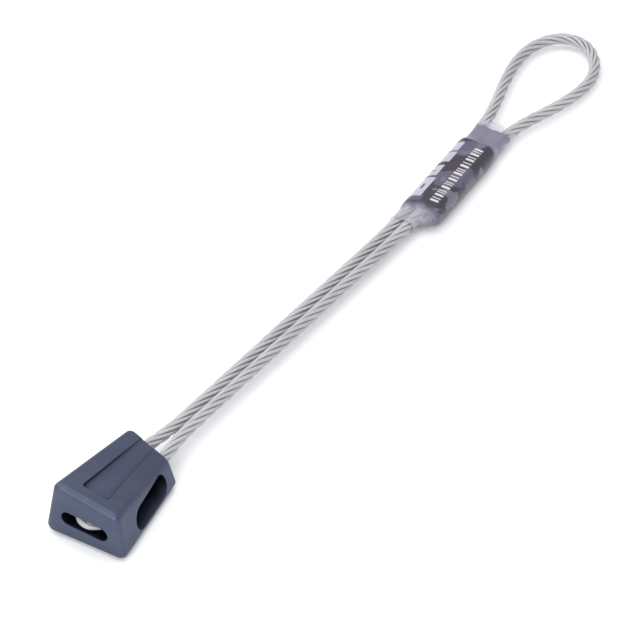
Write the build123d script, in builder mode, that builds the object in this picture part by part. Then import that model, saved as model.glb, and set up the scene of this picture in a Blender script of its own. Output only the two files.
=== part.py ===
from build123d import *
import os
from math import cos, pi, sin, radians

# A large wired climbing nut, all sizes in millimetres.
# +Z is up and +Y runs along the wire, from the alloy head to the clip-in loop. The nut lies flat on
# the head's back face, and the far end of the loop rests on the same surface.
# The origin is at the middle of the whole nut in plan, on that surface.

os.makedirs("parts", exist_ok=True)

# wire rope: one length of 3.5 mm galvanised 7x19 rope
WIRE_DIA = 3.5
WIRE_R = WIRE_DIA / 2
LEG_GAP = 7.0             # between the two legs' centrelines inside the head
PASS_GAP = 3.55           # between neighbouring rope centrelines in the ferrule
WIRE_HEIGHT = 7.2         # rope centreline above the surface, at the head's base
WIRE_DROP = 0.96          # degrees that the rope slopes down towards the loop

# where the working origin, at the head's base and on the surface, lies in the finished nut
DATUM_X = 1.45
DATUM_Y = -135.2

# head: an offset wedge, thick on the left and thin on the right, that narrows towards the ferrule
HEAD_LENGTH = 33.3
HEAD_X = 1.4              # middle of the base
HEAD_YAW = 3.4            # degrees that the head sits turned on its wire
BASE_FRONT_HALF = 10.4
BASE_BACK_HALF = 13.2
BASE_LEFT_THICK = 18.3
BASE_RIGHT_THICK = 15.0
TOP_FRONT_LEFT = -6.8
TOP_FRONT_RIGHT = 6.4
TOP_BACK_LEFT = -8.9
TOP_BACK_RIGHT = 9.8
TOP_LEFT_THICK = 15.7
TOP_RIGHT_THICK = 8.9
EDGE_R = 2.2
TOP_OFFSET_R = 4.5        # the thin side's front edge blends out towards the narrow end
BASE_EDGE_R = 1.8
TOP_EDGE_R = 1.0
BACK_TRIM = 0.02          # stock below the surface, cut off to leave the back face truly flat

# wire passage through the head and the saddle that the bend pulls on
PASSAGE_X = 0.4
PASSAGE_ROLL = -4.0
SLOT_X = -0.1
SLOT_LENGTH = 14.9
SLOT_HEIGHT = 4.4
EXIT_LENGTH = 11.2
EXIT_HEIGHT = 4.3
BEND_X = -0.1             # centre of the wire's bend, so that the bend sits just inside the slot
BEND_Y = 5.65
SADDLE_WIDTH = 3.3
SADDLE_TOP = 10.5
SADDLE_HEIGHT = 5.2

# side window that lightens the head, straight through from side to side
WINDOW_Y = 18.95
WINDOW_Z = 5.9
WINDOW_LENGTH = 19.3
WINDOW_HEIGHT = 7.2

# shallow tapered recess in the front face
RECESS_Y = 4.9
RECESS_LEFT = -4.0
RECESS_RIGHT = 4.5
RECESS_TOP_LEFT = -2.2
RECESS_TOP_RIGHT = 1.7
RECESS_DEPTH = 1.5
RECESS_TOP_DEPTH = 0.8
RECESS_FOOT_R = 0.7       # hollow where the walls meet the floor
RECESS_CORNER_R = 1.1
RECESS_CLEAR = 4.0
STEEP = 0.9               # how upright an edge is at the recess's closed end

# swaged ferrule, an oval tube round three side-by-side passes of the rope
FERRULE_X = 0.8
FERRULE_Y = 186.5
FERRULE_YAW = 4.25
FERRULE_LENGTH = 35.0
FERRULE_WIDTH = 12.3
FERRULE_THICK = 6.5
FERRULE_CLEAR = 0.05
FERRULE_EDGE_R = 0.9
END_INSET = 4.0           # how far each rope end stops short of the ferrule's mouth

# shrunk sleeve and label: how far along the ferrule, sideways place, width and thickness of the
# surface that they are shrunk on
WRAP_SECTIONS = [
    (-25.5, -PASS_GAP / 2, 7.3, 3.8),
    (-22.0, -PASS_GAP / 2, 7.4, 3.9),
    (-18.0, 0.0, FERRULE_WIDTH, FERRULE_THICK),
    (18.0, 0.0, FERRULE_WIDTH, FERRULE_THICK),
    (21.0, 0.0, 11.4, 5.0),
    (30.0, 0.0, 11.0, 3.9),
]
LABEL_FROM = -17.3
LABEL_TO = 27.3
LABEL_INSIDE = 0.04
LABEL_OUTSIDE = 0.16
SLEEVE_INSIDE = 0.20
SLEEVE_OUTSIDE = 0.50

# clip-in loop: corners of the run of tangent lines round its teardrop
LOOP_POINTS = [
    (-5.1, 218.2),
    (-14.6, 247.2),
    (-14.6, 260.9),
    (-8.8, 269.7),
    (0.5, 269.7),
    (9.5, 258.4),
    (9.5, 242.2),
    (2.0, 217.7),
]
LEG_SPLAY_Y = 28.6        # legs run parallel for this far past the bend's centre
LEG_JOIN_Y = 46.0         # from here to the ferrule the legs lie side by side
LEG_JOIN_X = -0.6
FERRULE_LEAD = 6.0        # straight rope before the ferrule's lower mouth
SLEEVE_BEND_R = 20.0      # where the rope leaves the sleeve or the ferrule
BEND_CORNERS = [-22.5, -67.5, -112.5, -157.5]


def turned(x, y, yaw):
    """The point (x, y) after a turn of yaw degrees anticlockwise about the origin."""
    c, s = cos(radians(yaw)), sin(radians(yaw))
    return x * c - y * s, x * s + y * c


WIRE_PLANE = Plane(
    origin=(DATUM_X, DATUM_Y, WIRE_HEIGHT),
    x_dir=(1, 0, 0),
    z_dir=(0, sin(radians(WIRE_DROP)), cos(radians(WIRE_DROP))),
)


def head_plane(y, z=0.0):
    """A plane across the head, y along it from the base, with local x to the right and y up."""
    dx, dy = turned(0, y, HEAD_YAW)
    ax, ay = turned(1, 0, HEAD_YAW)
    bx, by = turned(0, -1, HEAD_YAW)
    origin = (DATUM_X + HEAD_X + dx, DATUM_Y + dy, z)
    return Plane(origin=origin, x_dir=(ax, ay, 0), z_dir=(bx, by, 0))


def wire_height(y):
    """Height of the rope's centreline above the surface, y along from the head's base."""
    return WIRE_HEIGHT - y * sin(radians(WIRE_DROP))


def front_height(x, left, right, left_thick, right_thick):
    """Height of the sloping front face at x, between its left and right edges."""
    return left_thick + (x - left) / (right - left) * (right_thick - left_thick)


def base_front(x):
    return front_height(x, -BASE_FRONT_HALF, BASE_FRONT_HALF, BASE_LEFT_THICK, BASE_RIGHT_THICK)


def top_front(x):
    return front_height(x, TOP_FRONT_LEFT, TOP_FRONT_RIGHT, TOP_LEFT_THICK, TOP_RIGHT_THICK)


# alloy head
with BuildPart() as chock_head:
    with BuildSketch(head_plane(0)) as base_section:
        with BuildLine():
            Polyline(
                (-BASE_FRONT_HALF, BASE_LEFT_THICK),
                (BASE_FRONT_HALF, BASE_RIGHT_THICK),
                (BASE_BACK_HALF, -BACK_TRIM),
                (-BASE_BACK_HALF, -BACK_TRIM),
                close=True,
            )
        make_face()
        fillet(base_section.vertices(), EDGE_R)
    with BuildSketch(head_plane(HEAD_LENGTH)) as top_section:
        with BuildLine():
            Polyline(
                (TOP_FRONT_LEFT, TOP_LEFT_THICK),
                (TOP_FRONT_RIGHT, TOP_RIGHT_THICK),
                (TOP_BACK_RIGHT, -BACK_TRIM),
                (TOP_BACK_LEFT, -BACK_TRIM),
                close=True,
            )
        make_face()
        by_distance = top_section.vertices().sort_by_distance((TOP_FRONT_RIGHT, TOP_RIGHT_THICK))
        fillet(by_distance[1:], EDGE_R)
        fillet(top_section.vertices().sort_by_distance((TOP_FRONT_RIGHT, TOP_RIGHT_THICK))[0], TOP_OFFSET_R)
    loft(ruled=True)
    fillet(chock_head.faces().sort_by(Axis.Y)[0].edges(), BASE_EDGE_R)
    fillet(chock_head.faces().sort_by(Axis.Y)[-1].edges(), TOP_EDGE_R)
    split(bisect_by=Plane.XY, keep=Keep.TOP)

    # tapered recess: its floor follows the twist of the front face
    recess_sections = [
        (RECESS_Y, RECESS_LEFT, RECESS_RIGHT, RECESS_DEPTH),
        (HEAD_LENGTH + 1, RECESS_TOP_LEFT, RECESS_TOP_RIGHT, RECESS_TOP_DEPTH),
    ]
    floors = []
    for y, left, right, depth in recess_sections:
        share = y / HEAD_LENGTH
        floor_left = base_front(left) * (1 - share) + top_front(left) * share - depth
        floor_right = base_front(right) * (1 - share) + top_front(right) * share - depth
        floors.append(head_plane(y).from_local_coords((left, floor_left, 0)))
        with BuildSketch(head_plane(y)):
            with BuildLine():
                Polyline(
                    (left, floor_left),
                    (right, floor_right),
                    (right, floor_right + RECESS_CLEAR),
                    (left, floor_left + RECESS_CLEAR),
                    close=True,
                )
            make_face()
    loft(ruled=True, mode=Mode.SUBTRACT)
    for x in (RECESS_LEFT, RECESS_RIGHT):
        corner = head_plane(RECESS_Y).from_local_coords((x, base_front(x) - RECESS_DEPTH / 2, 0))
        uprights = chock_head.edges().filter_by(lambda e: abs((e % 0.5).Z) > STEEP)
        fillet(uprights.sort_by_distance(corner)[0], RECESS_CORNER_R)
    left_foot = chock_head.edges().sort_by_distance((floors[0] + floors[1]) / 2)[0]
    fillet(left_foot, RECESS_FOOT_R)

    # passage for both legs, from the base slot to the narrow end
    passage_ends = [
        (-1.0, SLOT_X, SLOT_LENGTH, SLOT_HEIGHT),
        (HEAD_LENGTH + 1, PASSAGE_X, EXIT_LENGTH, EXIT_HEIGHT),
    ]
    for y, x, length, height in passage_ends:
        with BuildSketch(head_plane(y, wire_height(y))):
            with Locations((x, 0)):
                SlotOverall(length, height, rotation=PASSAGE_ROLL)
    loft(ruled=True, mode=Mode.SUBTRACT)

    # window through both sides
    with BuildSketch(Plane(origin=head_plane(WINDOW_Y).from_local_coords((0, WINDOW_Z, 0)),
                           x_dir=-head_plane(0).z_dir, z_dir=head_plane(0).x_dir)):
        SlotOverall(WINDOW_LENGTH, WINDOW_HEIGHT)
    extrude(amount=2 * BASE_BACK_HALF, both=True, mode=Mode.SUBTRACT)

    # saddle between the legs, joined to the passage's floor and roof
    saddle_floor = wire_height(BEND_Y) - SADDLE_HEIGHT / 2
    saddle_length = SADDLE_TOP - BEND_Y + SADDLE_WIDTH
    saddle_origin = head_plane((SADDLE_TOP + BEND_Y) / 2).from_local_coords((BEND_X, saddle_floor, 0))
    with BuildSketch(Plane(origin=saddle_origin, x_dir=-head_plane(0).z_dir, z_dir=(0, 0, 1))):
        SlotOverall(saddle_length, SADDLE_WIDTH)
    extrude(amount=SADDLE_HEIGHT)
chock_head.part.label = "chock_head"
export_step(chock_head.part, "parts/chock_head.step")


def bend_point(across, along):
    """A point on the wire plane, measured from the centre of the wire's bend inside the head."""
    x, y = turned(BEND_X + across, BEND_Y + along, HEAD_YAW)
    return HEAD_X + x, y


def ferrule_point(across, along):
    """A point on the wire plane, measured from the middle of the ferrule."""
    x, y = turned(across, along, FERRULE_YAW)
    return FERRULE_X + x, FERRULE_Y + y


# wire rope: from its end in the ferrule's middle pass, down one leg, round the saddle, up the other
# leg, through the ferrule's left pass, round the clip-in loop and back into the right pass
bend_reach = LEG_GAP / 2 / cos(radians(BEND_CORNERS[0]))
leg_side = PASS_GAP / 2
lead_y = -FERRULE_LENGTH / 2 - FERRULE_LEAD
route = [
    ferrule_point(0, FERRULE_LENGTH / 2 - END_INSET),
    ferrule_point(0, lead_y),
    (LEG_JOIN_X + leg_side, LEG_JOIN_Y),
    bend_point(LEG_GAP / 2, LEG_SPLAY_Y),
]
route += [bend_point(bend_reach * cos(radians(a)), bend_reach * sin(radians(a))) for a in BEND_CORNERS]
route += [
    bend_point(-LEG_GAP / 2, LEG_SPLAY_Y),
    (LEG_JOIN_X - leg_side, LEG_JOIN_Y),
    ferrule_point(-PASS_GAP, lead_y),
]
route += LOOP_POINTS
route += [ferrule_point(PASS_GAP, -FERRULE_LENGTH / 2 + END_INSET)]

held_corners = [1, 10, 11, 18]    # corners beside the ferrule and the sleeve, which hold the rope
corner_radii = []
for i in range(1, len(route) - 1):
    before = Vector(*route[i]) - Vector(*route[i - 1])
    after = Vector(*route[i + 1]) - Vector(*route[i])
    turn = before.get_angle(after)
    widest = 0.45 * min(before.length, after.length) / sin(radians(turn / 2)) * cos(radians(turn / 2))
    corner_radii.append(min(widest, SLEEVE_BEND_R) if i in held_corners else widest)
    print("corner", i, "turns", round(turn, 1), "radius", round(corner_radii[-1], 1))

with BuildPart() as wire_rope:
    with BuildLine(WIRE_PLANE) as rope_path:
        FilletPolyline(*route, radius=corner_radii)
    rope_line = rope_path.wires()[0]
    with BuildSketch(Plane(origin=rope_line @ 0, z_dir=rope_line % 0)):
        Circle(WIRE_R)
    sweep()
rope_length = rope_line.length
print("rope length", round(rope_length, 1), "volume share",
      round(wire_rope.part.volume / (rope_length * pi * WIRE_R ** 2), 4))
wire_rope.part.label = "wire_rope"
export_step(wire_rope.part, "parts/wire_rope.step")


def ferrule_plane(along):
    """A plane across the ferrule, with local x across the passes and y up."""
    c, s = cos(radians(FERRULE_YAW)), sin(radians(FERRULE_YAW))
    origin = WIRE_PLANE.from_local_coords((*ferrule_point(0, along), 0))
    return Plane(origin=origin, x_dir=WIRE_PLANE.x_dir * c + WIRE_PLANE.y_dir * s,
                 z_dir=WIRE_PLANE.x_dir * s - WIRE_PLANE.y_dir * c)


# swaged ferrule
with BuildPart() as swage_ferrule:
    with BuildSketch(ferrule_plane(FERRULE_LENGTH / 2)):
        SlotOverall(FERRULE_WIDTH, FERRULE_THICK)
    extrude(amount=FERRULE_LENGTH)
    outline = swage_ferrule.faces().sort_by(Axis.Y)
    fillet(outline[0].edges() + outline[-1].edges(), FERRULE_EDGE_R)
    with BuildSketch(ferrule_plane(FERRULE_LENGTH / 2)):
        SlotOverall(2 * PASS_GAP + WIRE_DIA + 2 * FERRULE_CLEAR, WIRE_DIA + 2 * FERRULE_CLEAR)
    extrude(amount=FERRULE_LENGTH, mode=Mode.SUBTRACT)
swage_ferrule.part.label = "swage_ferrule"
export_step(swage_ferrule.part, "parts/swage_ferrule.step")


def wrap_section(along):
    """Sideways place, width and thickness of what is wrapped, at a distance along the ferrule."""
    for low, high in zip(WRAP_SECTIONS, WRAP_SECTIONS[1:]):
        if low[0] <= along <= high[0]:
            share = (along - low[0]) / (high[0] - low[0])
            return [a + share * (b - a) for a, b in zip(low[1:], high[1:])]


def wrap_faces(start, end, proud):
    """Sections, from start to end along the ferrule, of a wrap that stands proud of what it holds."""
    stops = [start] + [s[0] for s in WRAP_SECTIONS if start < s[0] < end] + [end]
    faces = []
    for along in stops:
        x, width, thick = wrap_section(along)
        with BuildSketch(ferrule_plane(along), mode=Mode.PRIVATE) as section:
            with Locations((x, 0)):
                SlotOverall(width + 2 * proud, thick + 2 * proud)
        faces.append(section.sketch.face())
    return faces


# printed label, shrunk on the ferrule and on the loop's two legs above it
label_outer = wrap_faces(LABEL_FROM, LABEL_TO, LABEL_OUTSIDE)
label_inner = wrap_faces(LABEL_FROM, LABEL_TO, LABEL_INSIDE)
with BuildPart() as printed_label:
    loft(label_outer, ruled=True)
    loft(label_inner, ruled=True, mode=Mode.SUBTRACT)
printed_label.part.label = "printed_label"
export_step(printed_label.part, "parts/printed_label.step")

# clear heat-shrink sleeve over the label, down onto the head's two legs
sleeve_outer = wrap_faces(WRAP_SECTIONS[0][0], WRAP_SECTIONS[-1][0], SLEEVE_OUTSIDE)
sleeve_inner = wrap_faces(WRAP_SECTIONS[0][0], WRAP_SECTIONS[-1][0], SLEEVE_INSIDE)
with BuildPart() as clear_sleeve:
    loft(sleeve_outer, ruled=True)
    loft(sleeve_inner, ruled=True, mode=Mode.SUBTRACT)
clear_sleeve.part.label = "clear_sleeve"
export_step(clear_sleeve.part, "parts/clear_sleeve.step")
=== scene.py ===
import bpy
import random
from math import cos, sin, pi, radians, hypot, exp
from mathutils import Matrix, Vector


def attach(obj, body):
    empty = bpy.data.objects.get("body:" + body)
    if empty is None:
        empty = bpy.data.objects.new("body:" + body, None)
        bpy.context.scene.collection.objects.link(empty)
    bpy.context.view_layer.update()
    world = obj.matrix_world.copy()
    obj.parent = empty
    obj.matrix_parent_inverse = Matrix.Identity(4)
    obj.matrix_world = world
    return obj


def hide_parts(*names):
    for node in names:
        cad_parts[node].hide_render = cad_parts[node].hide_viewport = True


# A large wired climbing nut. Sizes here are in millimetres and turned into metres by MM.
MM = 0.001

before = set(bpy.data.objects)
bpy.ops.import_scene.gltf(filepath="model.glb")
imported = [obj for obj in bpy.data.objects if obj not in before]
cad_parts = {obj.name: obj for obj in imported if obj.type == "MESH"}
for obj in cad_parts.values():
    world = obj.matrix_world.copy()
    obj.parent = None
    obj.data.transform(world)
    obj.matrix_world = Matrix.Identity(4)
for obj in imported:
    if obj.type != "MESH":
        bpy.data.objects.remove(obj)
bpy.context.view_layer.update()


# ---------------------------------------------------------------- camera
AIM = Vector((3.124, -19.644, 0)) * MM
AZIMUTH = radians(32.18)
ELEVATION = radians(40.54)
ROLL = radians(1.89)
DISTANCE = 1.2955
LENS = 253.125            # with a 36 mm sensor: the whole nut just fills the frame


def look_from(azimuth, elevation):
    """Unit vector from the object to an eye at that azimuth and elevation."""
    return Vector((sin(azimuth) * cos(elevation), -cos(azimuth) * cos(elevation), sin(elevation)))


back = look_from(AZIMUTH, ELEVATION)
right = Vector((cos(AZIMUTH), sin(AZIMUTH), 0))
up = back.cross(right)
rolled_right = right * cos(ROLL) + up * sin(ROLL)
rolled_up = up * cos(ROLL) - right * sin(ROLL)
camera_data = bpy.data.cameras.new("camera")
camera_data.lens = LENS
camera_data.sensor_width = 36
camera_data.clip_start = 0.01
camera = bpy.data.objects.new("camera", camera_data)
bpy.context.scene.collection.objects.link(camera)
eye = AIM + back * DISTANCE
turn = Matrix((rolled_right, rolled_up, back)).transposed()
camera.matrix_world = Matrix.Translation(eye) @ turn.to_4x4()
bpy.context.scene.camera = camera


# ---------------------------------------------------------------- node material helpers
class Shader:
    """A node material, with short calls for the nodes that it uses."""

    def __init__(self, name):
        self.mat = bpy.data.materials.new(name)
        self.mat.use_nodes = True
        self.nodes = self.mat.node_tree.nodes
        self.links = self.mat.node_tree.links
        self.bsdf = self.nodes["Principled BSDF"]
        self.where = self.nodes.new("ShaderNodeTexCoord").outputs["Object"]

    def put(self, value, socket):
        if isinstance(value, bpy.types.NodeSocket):
            self.links.new(value, socket)
        elif isinstance(value, tuple) and len(value) == 3 and socket.type == "RGBA":
            socket.default_value = (*value, 1)
        else:
            socket.default_value = value

    def set(self, **values):
        for name, value in values.items():
            self.put(value, self.bsdf.inputs[name.replace("_", " ")])

    def noise(self, scale, detail=3.0, rough=0.55, at=None, stretch=None):
        node = self.nodes.new("ShaderNodeTexNoise")
        node.inputs["Scale"].default_value = scale
        node.inputs["Detail"].default_value = detail
        node.inputs["Roughness"].default_value = rough
        self.links.new(self.scaled(at or self.where, stretch or (1, 1, 1)), node.inputs["Vector"])
        return node.outputs["Fac"]

    def scaled(self, vector, scale):
        node = self.nodes.new("ShaderNodeMapping")
        node.inputs["Scale"].default_value = scale
        self.links.new(vector, node.inputs["Vector"])
        return node.outputs["Vector"]

    def remap(self, value, low, high, to_low=0.0, to_high=1.0, smooth=True):
        node = self.nodes.new("ShaderNodeMapRange")
        node.interpolation_type = "SMOOTHSTEP" if smooth else "LINEAR"
        self.put(value, node.inputs["Value"])
        limits = {"From Min": low, "From Max": high, "To Min": to_low, "To Max": to_high}
        for name, number in limits.items():
            node.inputs[name].default_value = number
        return node.outputs["Result"]

    def maths(self, operation, a, b=0.0):
        node = self.nodes.new("ShaderNodeMath")
        node.operation = operation
        self.put(a, node.inputs[0])
        self.put(b, node.inputs[1])
        return node.outputs[0]

    def mix(self, fac, a, b):
        node = self.nodes.new("ShaderNodeMix")
        node.data_type = "RGBA"
        self.put(fac, node.inputs["Factor"])
        self.put(a, node.inputs["A"])
        self.put(b, node.inputs["B"])
        return node.outputs["Result"]

    def bump(self, height, strength, distance):
        node = self.nodes.new("ShaderNodeBump")
        node.inputs["Strength"].default_value = strength
        node.inputs["Distance"].default_value = distance
        self.links.new(height, node.inputs["Height"])
        self.links.new(node.outputs["Normal"], self.bsdf.inputs["Normal"])

    def attribute(self, name):
        node = self.nodes.new("ShaderNodeAttribute")
        node.attribute_name = name
        return node


def give(obj, material):
    """Every slot of obj gets the material."""
    if not obj.data.materials:
        obj.data.materials.append(material)
    for index in range(len(obj.data.materials)):
        obj.data.materials[index] = material


def new_mesh(name, verts, faces, smooth=True):
    mesh = bpy.data.meshes.new(name)
    mesh.from_pydata(verts, [], faces)
    mesh.polygons.foreach_set("use_smooth", [smooth] * len(faces))
    mesh.update()
    obj = bpy.data.objects.new(name, mesh)
    bpy.context.scene.collection.objects.link(obj)
    return obj


# ---------------------------------------------------------------- route of the rope
WIRE_DIA = 3.5
PASS_GAP = 3.55
DATUM = Vector((1.45, -135.2, 7.2))
WIRE_DROP = radians(0.96)
HEAD_X = 1.4
HEAD_YAW = radians(3.4)
BEND_X = -0.1
BEND_Y = 5.65
FERRULE_X = 0.8
FERRULE_Y = 186.5
FERRULE_YAW = radians(4.25)
FERRULE_LENGTH = 35.0
END_INSET = 4.0
FERRULE_LEAD = 6.0
LEG_SPLAY_Y = 28.6
LEG_OUT = 3.7             # a little over half the legs' gap, because the spline cuts the corner
BEND_SIDE = (4.0, -0.9)   # corners of the bend inside the head: across and along
BEND_FOOT = (1.7, -3.75)
LEG_JOIN_Y = 46.0
LEG_JOIN_X = -0.6
wire_along = Vector((0, cos(WIRE_DROP), -sin(WIRE_DROP)))
wire_up = Vector((0, sin(WIRE_DROP), cos(WIRE_DROP)))


def turned(x, y, yaw):
    """The point (x, y) after an anticlockwise turn about the origin."""
    return x * cos(yaw) - y * sin(yaw), x * sin(yaw) + y * cos(yaw)


def wire_point(x, y, z=0.0):
    """A point on the rope's plane in metres, from millimetres across and along it."""
    return (DATUM + Vector((x, 0, 0)) + wire_along * y + wire_up * z) * MM


def bend_point(across, along):
    """A point on the rope's plane, measured from the middle of the bend inside the head."""
    x, y = turned(BEND_X + across, BEND_Y + along, HEAD_YAW)
    return HEAD_X + x, y


def ferrule_point(across, along):
    """A point on the rope's plane, measured from the middle of the ferrule."""
    x, y = turned(across, along, FERRULE_YAW)
    return FERRULE_X + x, FERRULE_Y + y


def toward(start, end, distance):
    """The point that far from start, on the way to end."""
    share = distance / hypot(end[0] - start[0], end[1] - start[1])
    return start[0] + share * (end[0] - start[0]), start[1] + share * (end[1] - start[1])


leg_side = PASS_GAP / 2
lead = -FERRULE_LENGTH / 2 - FERRULE_LEAD
right_lead = ferrule_point(0, lead)
right_join = (LEG_JOIN_X + leg_side, LEG_JOIN_Y)
left_lead = ferrule_point(-PASS_GAP, lead)
left_join = (LEG_JOIN_X - leg_side, LEG_JOIN_Y)
NEAR_FERRULE = 37.0       # as far from the ferrule's lead as the next corner is
NEAR_HEAD = 17.4          # as far from the join as the head's corner is
HELD_TO = 10.0            # past the ferrule's middle, where the loop's first and last corners are
route = [
    ferrule_point(0, FERRULE_LENGTH / 2 - END_INSET),
    right_lead,
    toward(right_lead, right_join, NEAR_FERRULE),
    toward(right_join, right_lead, NEAR_HEAD),
    right_join,
    bend_point(LEG_OUT, LEG_SPLAY_Y),
    bend_point(BEND_SIDE[0], BEND_SIDE[1]),
    bend_point(BEND_FOOT[0], BEND_FOOT[1]),
    bend_point(-BEND_FOOT[0], BEND_FOOT[1]),
    bend_point(-BEND_SIDE[0], BEND_SIDE[1]),
    bend_point(-LEG_OUT, LEG_SPLAY_Y),
    left_join,
    toward(left_join, left_lead, NEAR_HEAD),
    toward(left_lead, left_join, NEAR_FERRULE),
    left_lead,
    ferrule_point(-PASS_GAP, HELD_TO),
    (-5.1, 218.2),
    (-14.6, 247.2),
    (-14.6, 260.9),
    (-8.8, 269.7),
    (0.5, 269.7),
    (9.5, 258.4),
    (9.5, 242.2),
    (2.0, 217.7),
    ferrule_point(PASS_GAP, HELD_TO),
    ferrule_point(PASS_GAP, -FERRULE_LENGTH / 2 + END_INSET),
]


def read_spline(name, points):
    """Points of the NURBS spline with these control points, as Blender evaluates it."""
    curve = bpy.data.curves.new(name, "CURVE")
    curve.dimensions = "3D"
    curve.resolution_u = 48
    spline = curve.splines.new("NURBS")
    spline.points.add(len(points) - 1)
    for place, point in zip(spline.points, points):
        place.co = (*point, 1)
    spline.order_u = 3
    spline.use_endpoint_u = True
    holder = bpy.data.objects.new(name, curve)
    bpy.context.scene.collection.objects.link(holder)
    bpy.context.view_layer.update()
    mesh = bpy.data.meshes.new_from_object(holder)
    read = [v.co.copy() for v in mesh.vertices]
    bpy.data.objects.remove(holder)
    bpy.data.curves.remove(curve)
    bpy.data.meshes.remove(mesh)
    return read


def walk(points, step):
    """Even steps along the points that were read: a list of (distance, place, direction)."""
    run = [0.0]
    for a, b in zip(points, points[1:]):
        run.append(run[-1] + (b - a).length)
    count = round(run[-1] / step)
    stations = []
    k = 0
    for i in range(count + 1):
        want = run[-1] * i / count
        while k < len(points) - 2 and run[k + 1] < want:
            k += 1
        share = (want - run[k]) / max(run[k + 1] - run[k], 1e-9)
        before = points[max(k - 1, 0)]
        after = points[min(k + 2, len(points) - 1)]
        stations.append((want, points[k].lerp(points[k + 1], share), (after - before).normalized()))
    return stations


WALK_STEP = 0.55 * MM
rope_points = read_spline("rope_route", [wire_point(x, y) for x, y in route])
stations = walk(rope_points, WALK_STEP)


# ---------------------------------------------------------------- stranded rope
STRANDS = 6
STRAND_R = WIRE_DIA / 6 * MM              # of one strand
STRAND_OUT = WIRE_DIA / 3 * MM            # from the rope's middle to a strand's middle
LAY = 27.8 * MM                           # one turn of a strand, right-hand
WIRES = 12                                # in a strand's outer layer
WIRE_GROOVE = 0.08 * MM
WIRE_SPIN = -2.0                          # wires turn back in the strand, so they run along the rope
random.seed(7)


def rope_mesh():
    """Six strands of twelve wires, laid round the stations of the rope's route."""
    verts, faces, rho, wire_tone_and_groove_shade = [], [], [], []
    per = WIRES * 2
    for strand in range(STRANDS):
        tones = [random.random() for _ in range(WIRES)]
        first = len(verts)
        for distance, place, along in stations:
            side = wire_up.cross(along)
            lay_angle = 2 * pi * distance / LAY + 2 * pi * strand / STRANDS
            out = side * cos(lay_angle) + wire_up * sin(lay_angle)
            centre = place + out * STRAND_OUT
            spin = WIRE_SPIN * 2 * pi * distance / LAY
            for k in range(per):
                angle = spin + pi * k / WIRES
                radius = STRAND_R - (WIRE_GROOVE if k % 2 else 0)
                vert = centre + (side * cos(angle) + wire_up * sin(angle)) * radius
                verts.append(vert)
                # rho, the distance from the rope's middle, later paints shade into the valleys between
                # the strands
                rho.append((vert - place).length / (WIRE_DIA / 2 * MM))
                # each wire keeps its own random tone; the grooves between wires get 0.35, a little
                # darker, as painted shade
                wire_tone_and_groove_shade.append(tones[k // 2] if k % 2 == 0 else 0.35)
        for i in range(len(stations) - 1):
            row = first + i * per
            for k in range(per):
                nxt = (k + 1) % per
                faces.append((row + nxt, row + k, row + per + k, row + per + nxt))
        last = first + (len(stations) - 1) * per
        faces.append(tuple(first + k for k in range(per)))
        faces.append(tuple(last + k for k in reversed(range(per))))
    obj = new_mesh("stranded_rope", verts, faces)
    for name, values in (("rho", rho), ("tone_and_groove_shade", wire_tone_and_groove_shade)):
        attribute = obj.data.attributes.new(name, "FLOAT", "POINT")
        attribute.data.foreach_set("value", values)
    return obj


rope = rope_mesh()
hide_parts("wire_rope")
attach(rope, "sling")


# ---------------------------------------------------------------- label and clear sleeve
FERRULE_WIDTH = 12.3
FERRULE_THICK = 6.5
ROUND = 72                                # points round a skin
SAG = 0.30                                # film dips this far between two ropes, in millimetres
LETS_GO = (-0.2, 4.2)                     # past the ferrule's mouth, where the film goes on to the ropes
FLARE_WIDTH = 0.9                         # of the turned-out lip at a film's rim
RIPPLE = 0.06
SHALLOWEST = 0.05                         # cosine below which a direction says nothing about the skin


def ferrule_frame(along):
    """Place and two directions, across the passes and up, at a distance along the ferrule."""
    across = Vector((cos(FERRULE_YAW), 0, 0)) + wire_along * sin(FERRULE_YAW)
    return wire_point(*ferrule_point(0, along)), across, wire_up


def rope_crossings(along):
    """Sideways places, in millimetres, where the rope's passes cross the plane at along."""
    place, across, _ = ferrule_frame(along)
    direction = wire_up.cross(across)
    found = []
    for (_, a, _), (_, b, _) in zip(stations, stations[1:]):
        da, db = (a - place).dot(direction), (b - place).dot(direction)
        if da * db <= 0 and da != db:
            x = (a.lerp(b, da / (da - db)) - place).dot(across) / MM
            if abs(x) < FERRULE_WIDTH:
                found.append(x)
    return found


def hull_reach(circles, angle):
    """Distance from the middle to the taut skin round the circles, at that angle."""
    best = float("inf")
    for k in range(ROUND * 2):
        lean = pi * k / ROUND
        facing = cos(angle - lean)
        if facing > SHALLOWEST:
            support = max(x * cos(lean) + r for x, r in circles)
            best = min(best, support / facing)
    return best


def smooth(value, low, high):
    """An eased step from 0 at low to 1 at high."""
    t = min(max((value - low) / (high - low), 0), 1)
    return t * t * (3 - 2 * t)


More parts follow.
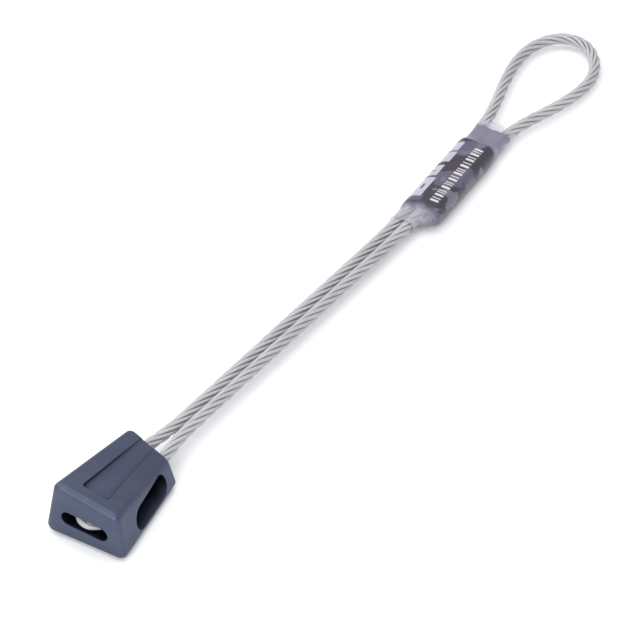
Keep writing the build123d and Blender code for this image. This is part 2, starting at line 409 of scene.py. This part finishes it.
def skin(name, start, end, inner, outer, steps, lip=0.0):
    """A closed film round the ferrule and the ropes beside it, with thickness outer - inner."""
    half = (FERRULE_WIDTH - FERRULE_THICK) / 2
    oval = [(-half, FERRULE_THICK / 2), (half, FERRULE_THICK / 2)]
    rings = []
    for i in range(steps + 1):
        along = start + (end - start) * i / steps
        place, across, upward = ferrule_frame(along)
        crossings = rope_crossings(along)
        if along > FERRULE_LENGTH / 2 - END_INSET:
            crossings = [min(crossings), max(crossings)]
        ropes = [(x, WIRE_DIA / 2) for x in crossings]
        middle = sum(crossings) / len(crossings)
        held = 1 - smooth(abs(along) - FERRULE_LENGTH / 2, *LETS_GO)
        centre = middle * (1 - held)
        rim = min(along - start, end - along)
        flare = lip * exp(-(rim / FLARE_WIDTH) ** 2)
        reach = []
        for k in range(ROUND):
            angle = 2 * pi * k / ROUND
            tight = hull_reach([(x - middle, r) for x, r in ropes], angle)
            wide = hull_reach(oval, angle)
            dip = SAG * (1 - held) * abs(sin(angle)) ** 8
            ripple = RIPPLE * (1 - held) * sin(5 * angle + along * 1.7) * sin(angle * 2 + 1)
            reach.append(tight * (1 - held) + wide * held - dip + ripple + flare)
        rings.append((place, across, upward, centre, reach, along))
    verts, faces, along_value, round_value, x_value = [], [], [], [], []
    for proud, order in ((outer, rings), (inner, rings[::-1])):
        for place, across, upward, centre, reach, along in order:
            for k in range(ROUND):
                angle = 2 * pi * k / ROUND
                radius = reach[k] + proud
                x, z = centre + radius * cos(angle), radius * sin(angle)
                verts.append(place + (across * x + upward * z) * MM)
                along_value.append(along)
                round_value.append(z)
                x_value.append(x)
    loops = 2 * (steps + 1)
    for i in range(loops):
        row, nxt = i * ROUND, (i + 1) % loops * ROUND
        for k in range(ROUND):
            turn_k = (k + 1) % ROUND
            faces.append((row + turn_k, row + k, nxt + k, nxt + turn_k))
    obj = new_mesh(name, verts, faces)
    for title, values in (("along", along_value), ("height", round_value), ("across", x_value)):
        attribute = obj.data.attributes.new(title, "FLOAT", "POINT")
        attribute.data.foreach_set("value", values)
    return obj


label = skin("printed_film", -19.0, 27.3, 0.06, 0.18, 120)
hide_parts("printed_label")
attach(label, "sling")
sleeve = skin("clear_shrink_sleeve", -25.5, 30.0, 0.22, 0.50, 150, lip=0.12)
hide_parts("clear_sleeve")
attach(sleeve, "sling")


# ---------------------------------------------------------------- materials
def rope_material():
    s = Shader("galvanised_wire")
    rho = s.attribute("rho").outputs["Fac"]
    tone_and_groove_shade = s.attribute("tone_and_groove_shade").outputs["Fac"]
    patch = s.noise(90, 4, 0.6)
    # random tone per wire, with painted shade a little darker in the grooves between wires
    steel = s.mix(tone_and_groove_shade, (0.40, 0.40, 0.41), (0.58, 0.58, 0.59))
    steel = s.mix(s.remap(patch, 0.42, 0.68, 0, 0.35), steel, (0.36, 0.36, 0.38))
    # painted shade: near black in the valleys between the strands, where rho is small
    colour = s.mix(s.remap(rho, 0.48, 0.80), (0.10, 0.10, 0.11), steel)
    s.set(Base_Color=colour, Metallic=0.2, Roughness=s.remap(s.noise(700, 3, 0.6), 0.3, 0.7, 0.42, 0.6))
    s.bump(s.noise(5200, 2, 0.6), 0.25, 0.00004)
    return s.mat


# reaches, in metres, of the painted shade in the head's crevices and cavities
CREVICE = 0.003
CAVITY = 0.03


def alloy_material():
    s = Shader("anodised_alloy_satin")
    cloud = s.noise(75, 4, 0.6)
    fine = s.noise(2600, 3, 0.7)
    base = s.mix(s.remap(cloud, 0.3, 0.7), (0.070, 0.082, 0.128), (0.088, 0.102, 0.154))

    def openness(reach, low, high):
        """1 in the open, 0 where the head itself closes a point in within that reach, in metres."""
        node = s.nodes.new("ShaderNodeAmbientOcclusion")
        node.samples = 12
        node.only_local = True
        node.inputs["Distance"].default_value = reach
        return s.remap(node.outputs["AO"], low, high)

    # painted shade: the colour falls to near black where the head closes in on itself, in crevices, the
    # recess and the windows
    open_share = s.maths("MULTIPLY", openness(CREVICE, 0.3, 0.95), openness(CAVITY, 0.3, 0.8))
    colour = s.mix(open_share, (0.004, 0.005, 0.012), base)
    s.set(Base_Color=colour, Metallic=0.85, Roughness=s.remap(fine, 0.3, 0.7, 0.46, 0.56))
    s.bump(fine, 0.18, 0.00006)
    return s.mat


def ferrule_material():
    s = Shader("swaged_alloy")
    along = s.noise(900, 3, 0.6, stretch=(1, 0.15, 1))
    s.set(Base_Color=s.mix(along, (0.5, 0.5, 0.52), (0.7, 0.7, 0.72)), Metallic=1.0,
          Roughness=s.remap(along, 0.3, 0.7, 0.32, 0.5))
    s.bump(along, 0.3, 0.00008)
    return s.mat


def label_material():
    s = Shader("printed_film")
    along = s.attribute("along").outputs["Fac"]
    across = s.attribute("across").outputs["Fac"]
    height = s.attribute("height").outputs["Fac"]

    def between(value, low, high, soft=0.12):
        above = s.remap(value, low - soft, low + soft)
        below = s.remap(value, high + soft, high - soft)
        return s.maths("MULTIPLY", above, below)

    def box(a0, a1, x0, x1, slant=0.0):
        shifted = s.maths("ADD", along, s.maths("MULTIPLY", across, slant)) if slant else along
        return s.maths("MULTIPLY", between(shifted, a0, a1), between(across, x0, x1))

    def union(masks):
        total = masks[0]
        for mask in masks[1:]:
            total = s.maths("MAXIMUM", total, mask)
        return total

    camo = s.noise(125, 1.5, 0.4, stretch=(1, 0.8, 1))
    camo_edge = s.remap(camo, 0.50, 0.53)
    ground = s.mix(camo_edge, (0.026, 0.018, 0.034), (0.080, 0.076, 0.112))
    second = s.remap(s.noise(150, 1.0, 0.4, at=s.scaled(s.where, (1, 1, -1))), 0.60, 0.63)
    ground = s.mix(second, ground, (0.12, 0.115, 0.155))
    ground = s.mix(s.remap(along, 17.6, 18.4), ground, (0.17, 0.165, 0.225))
    upper = s.remap(height, -0.4, 0.0)
    # pale blocks on the upper left edge: part print, part a painted sheen of the gloss film
    blocks = union([box(a0, a1, -9, x1, -0.35) for a0, a1, x1 in BLOCKS])
    notches = union([box(a0, a1, x0, x1, -0.35) for a0, a1, x0, x1 in NOTCHES])
    blocks = s.maths("SUBTRACT", blocks, notches)
    blocks = s.maths("MULTIPLY", blocks, upper)
    marks = union([box(a0, a1, x0, x1) for a0, a1, x0, x1 in MARKS])
    marks = s.maths("MULTIPLY", marks, upper)
    colour = s.mix(s.maths("MAXIMUM", blocks, 0.0), ground, (0.44, 0.42, 0.50))
    colour = s.mix(marks, colour, (0.60, 0.58, 0.58))
    s.set(Base_Color=colour, Roughness=s.remap(s.noise(300, 3, 0.6), 0.3, 0.7, 0.34, 0.46),
          Coat_Weight=0.25, Coat_Roughness=0.14)
    s.bump(s.noise(1500, 3, 0.6), 0.12, 0.00005)
    return s.mat


def film_material():
    s = Shader("clear_film")
    along = s.attribute("along").outputs["Fac"]
    weight = s.nodes.new("ShaderNodeLayerWeight")
    weight.inputs["Blend"].default_value = 0.35
    low_end = s.remap(along, -17.0, -20.0)
    high_end = s.remap(along, 26.5, 28.5)
    milky = s.maths("MAXIMUM", low_end, high_end)
    haze = s.noise(260, 4, 0.6)
    sheer = s.remap(weight.outputs["Facing"], 0.4, 1.0, 0.01, 0.06)
    alpha = s.maths("ADD", sheer, s.maths("MULTIPLY", milky, s.remap(haze, 0.35, 0.65, 0.20, 0.38)))
    tint = s.mix(milky, (0.20, 0.19, 0.25), s.mix(haze, (0.46, 0.45, 0.53), (0.60, 0.59, 0.67)))
    s.set(Base_Color=tint, Roughness=0.2, Specular_IOR_Level=0.3, Alpha=alpha)
    s.bump(s.noise(420, 3, 0.6), 0.2, 0.00008)
    return s.mat


# plain marks in place of print, in millimetres along and across the ferrule; the pale blocks also hold a
# painted sheen pale blocks on the left edge, part print and part painted sheen of the gloss film: from,
# to, and how far in; notches in them: from, to along and across
BLOCKS = [(-13.6, -3.4, -2.3), (-2.2, 3.6, -2.9), (5.6, 11.2, -2.7), (12.0, 16.8, -3.0)]
NOTCHES = [(-9.6, -7.0, -4.2, -3.6), (0.2, 1.0, -9, -4.2)]
# one row of bars: where each starts, and its width
ROW = (1.0, 3.7)
BARS = [
    (-14.6, 0.9), (-13.0, 0.4), (-11.6, 0.9), (-10.0, 0.4), (-9.0, 0.4), (-7.4, 1.0), (-5.5, 0.4),
    (-4.5, 0.4), (-2.9, 0.9), (-1.2, 0.4), (0.4, 0.9), (2.0, 0.4), (3.0, 0.4), (4.6, 1.0),
    (6.5, 0.4), (8.1, 0.9), (9.7, 0.4), (11.2, 0.9), (12.8, 0.4), (13.8, 0.8),
]
MARKS = [(start, start + width, *ROW) for start, width in BARS]
give(rope, rope_material())
give(label, label_material())
give(sleeve, film_material())
give(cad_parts["chock_head"], alloy_material())
give(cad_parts["swage_ferrule"], ferrule_material())


# ---------------------------------------------------------------- floor, world and lights
FLOOR_HALF = 3
FLOOR_Z = -0.0003          # just under the surface that the nut lies on, in metres
floor_mesh = bpy.data.meshes.new("floor")
corners = [(x * FLOOR_HALF, y * FLOOR_HALF) for x, y in ((-1, -1), (1, -1), (1, 1), (-1, 1))]
floor_mesh.from_pydata([(x, y, FLOOR_Z) for x, y in corners], [], [(0, 1, 2, 3)])
floor = bpy.data.objects.new("floor", floor_mesh)
bpy.context.scene.collection.objects.link(floor)
floor_shader = Shader("floor")
floor_shader.set(Base_Color=(0.93, 0.93, 0.93), Roughness=0.8)
give(floor, floor_shader.mat)

world = bpy.data.worlds.new("studio")
bpy.context.scene.world = world
world.use_nodes = True
world.node_tree.nodes["Background"].inputs["Color"].default_value = (0.95, 0.96, 1.0, 1)
world.node_tree.nodes["Background"].inputs["Strength"].default_value = 0.75


def softbox(name, place, size, power):
    light = bpy.data.lights.new(name, "AREA")
    light.shape = "RECTANGLE"
    light.size, light.size_y = size
    light.energy = power
    lamp = bpy.data.objects.new(name, light)
    bpy.context.scene.collection.objects.link(lamp)
    lamp.location = place
    lamp.rotation_mode = "QUATERNION"
    lamp.rotation_quaternion = (Vector(place) - AIM).to_track_quat("Z", "Y")


softbox("key", (0.25, -1.1, 0.85), (0.8, 0.5), 9.0)
softbox("fill", (-0.9, -0.1, 0.8), (0.7, 0.7), 4.0)
softbox("top", (0.0, 0.15, 1.1), (1.0, 1.0), 5.0)
bpy.context.scene.view_settings.view_transform = "Standard"
